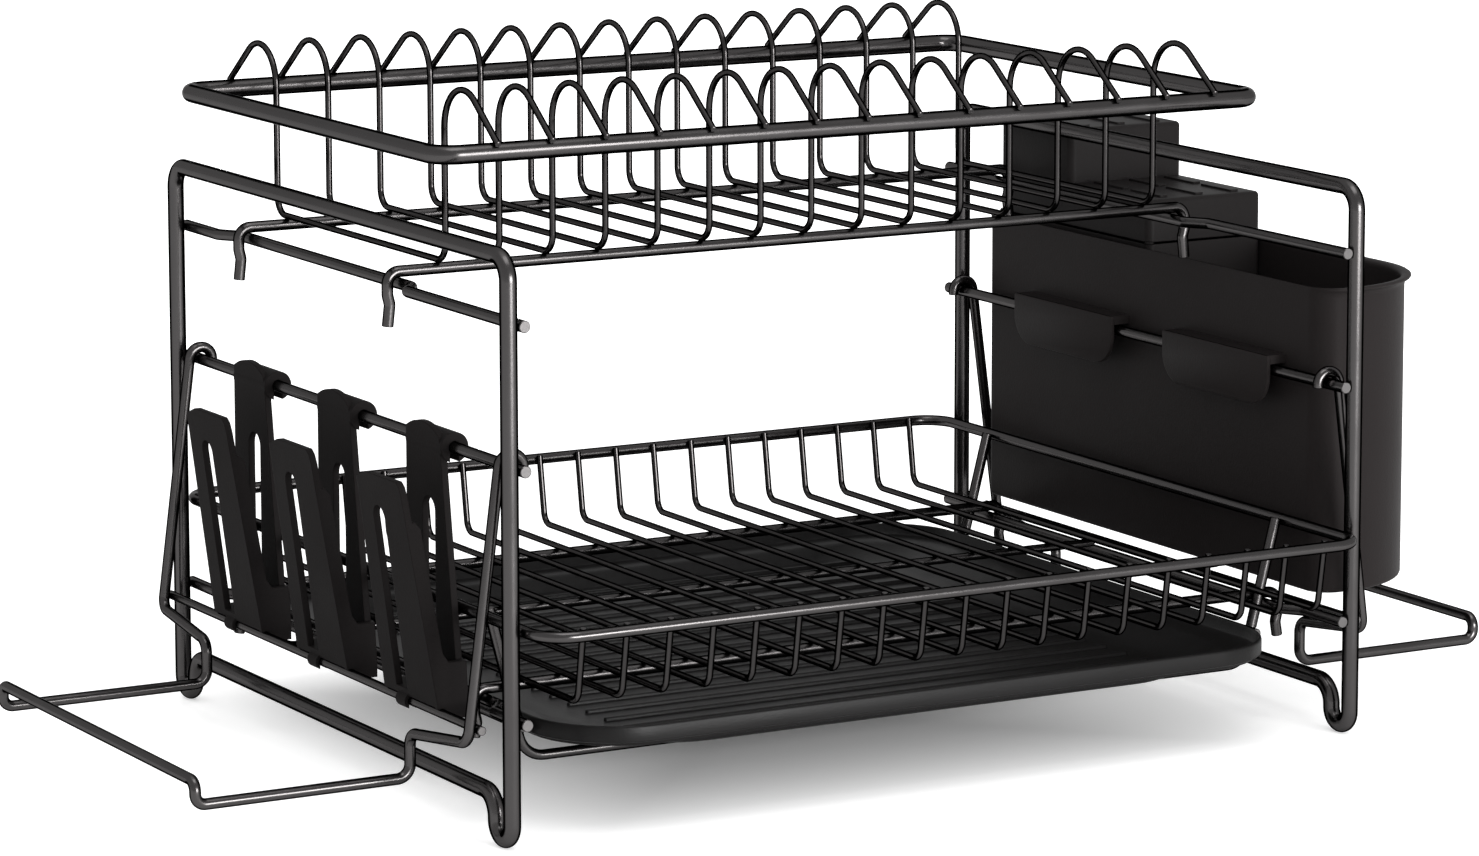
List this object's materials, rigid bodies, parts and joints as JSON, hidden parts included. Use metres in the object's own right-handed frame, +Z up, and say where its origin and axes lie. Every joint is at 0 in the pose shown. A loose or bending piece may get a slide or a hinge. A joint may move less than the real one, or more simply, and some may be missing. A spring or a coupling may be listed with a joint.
{
  "type": "dish drying rack",
  "caption": "Two-tier dish drying rack of dark coated wire with fold-out side racks, cup holders, a drip tray, a cutlery box and a knife block.",
  "frame": {"origin": "on the surface it stands on, under the middle of the whole rack's bounding box", "axes": "+X to the side that carries the cutlery box, +Y to the back, +Z up"},
  "size_m": [0.653, 0.3692, 0.3049],
  "materials": {
    "coated_frame": "smooth dark grey coating, semi-gloss",
    "coated_wire": "smooth dark grey coating, semi-gloss",
    "tray_plastic": "black moulded plastic, satin",
    "holder_plastic": "black moulded plastic, matte",
    "box_plastic": "black moulded plastic, matte",
    "block_plastic": "black moulded plastic, matte"
  },
  "bodies": {
    "frame": {"side_frame_left": "coated_frame", "side_frame_right": "coated_frame", "crossbar_upper_left": "coated_frame", "crossbar_upper_right": "coated_frame", "crossbar_mid_left": "coated_frame", "crossbar_mid_right": "coated_frame", "crossbar_lower_left": "coated_frame", "crossbar_lower_right": "coated_frame"},
    "upper_basket": {"upper_rim": "coated_wire", "upper_runner_front": "coated_wire", "upper_runner_back": "coated_wire", "plate_loops": "coated_wire"},
    "lower_basket": {"lower_rim": "coated_wire", "lower_runner_front": "coated_wire", "lower_runner_middle": "coated_wire", "lower_runner_back": "coated_wire", "floor_wires": "coated_wire", "hanger_front_left": "coated_wire", "hanger_front_right": "coated_wire", "hanger_back_left": "coated_wire", "hanger_back_right": "coated_wire", "cradle_rod_left": "coated_wire", "cradle_rod_right": "coated_wire", "cradle_wire_front": "coated_wire", "cradle_wire_back": "coated_wire"},
    "drip_tray": {"drip_tray": "tray_plastic"},
    "left_rack": {"rack_wire_left": "coated_wire", "rack_rod_left": "coated_wire"},
    "right_rack": {"rack_wire_right": "coated_wire", "rack_rod_right": "coated_wire"},
    "cup_holder_back": {"cup_holder_back": "holder_plastic"},
    "cup_holder_middle": {"cup_holder_middle": "holder_plastic"},
    "cup_holder_front": {"cup_holder_front": "holder_plastic"},
    "cutlery_box": {"cutlery_box": "box_plastic"},
    "knife_block": {"knife_block": "block_plastic"}
  },
  "joints": [
    {"name": "upper_basket_lift", "type": "slide", "parent": "frame", "child": "upper_basket", "axis": [0, 0, 1], "range_m": [0, 0.06]},
    {"name": "lower_basket_lift", "type": "slide", "parent": "frame", "child": "lower_basket", "axis": [0, 0, 1], "range_m": [0, 0.03]},
    {"name": "drip_tray_slide", "type": "slide", "parent": "lower_basket", "child": "drip_tray", "axis": [0, -1, 0], "range_m": [0, 0.24]},
    {"name": "left_rack_hinge", "type": "hinge", "parent": "frame", "child": "left_rack", "pos_m": [-0.20377, 0, 0.1585], "axis": [0, 1, 0], "range_deg": [0, 75]},
    {"name": "right_rack_hinge", "type": "hinge", "parent": "frame", "child": "right_rack", "pos_m": [0.20377, 0, 0.1585], "axis": [0, -1, 0], "range_deg": [0, 12]},
    {"name": "cup_holder_back_slide", "type": "slide", "parent": "left_rack", "child": "cup_holder_back", "axis": [0, 1, 0], "range_m": [-0.015, 0.015]},
    {"name": "cup_holder_middle_slide", "type": "slide", "parent": "left_rack", "child": "cup_holder_middle", "axis": [0, 1, 0], "range_m": [-0.015, 0.015]},
    {"name": "cup_holder_front_slide", "type": "slide", "parent": "left_rack", "child": "cup_holder_front", "axis": [0, 1, 0], "range_m": [-0.015, 0.015]},
    {"name": "cutlery_box_lift", "type": "slide", "parent": "frame", "child": "cutlery_box", "axis": [0, 0, 1], "range_m": [0, 0.03]},
    {"name": "knife_block_lift", "type": "slide", "parent": "cutlery_box", "child": "knife_block", "axis": [0, 0, 1], "range_m": [0, 0.06]}
  ]
}
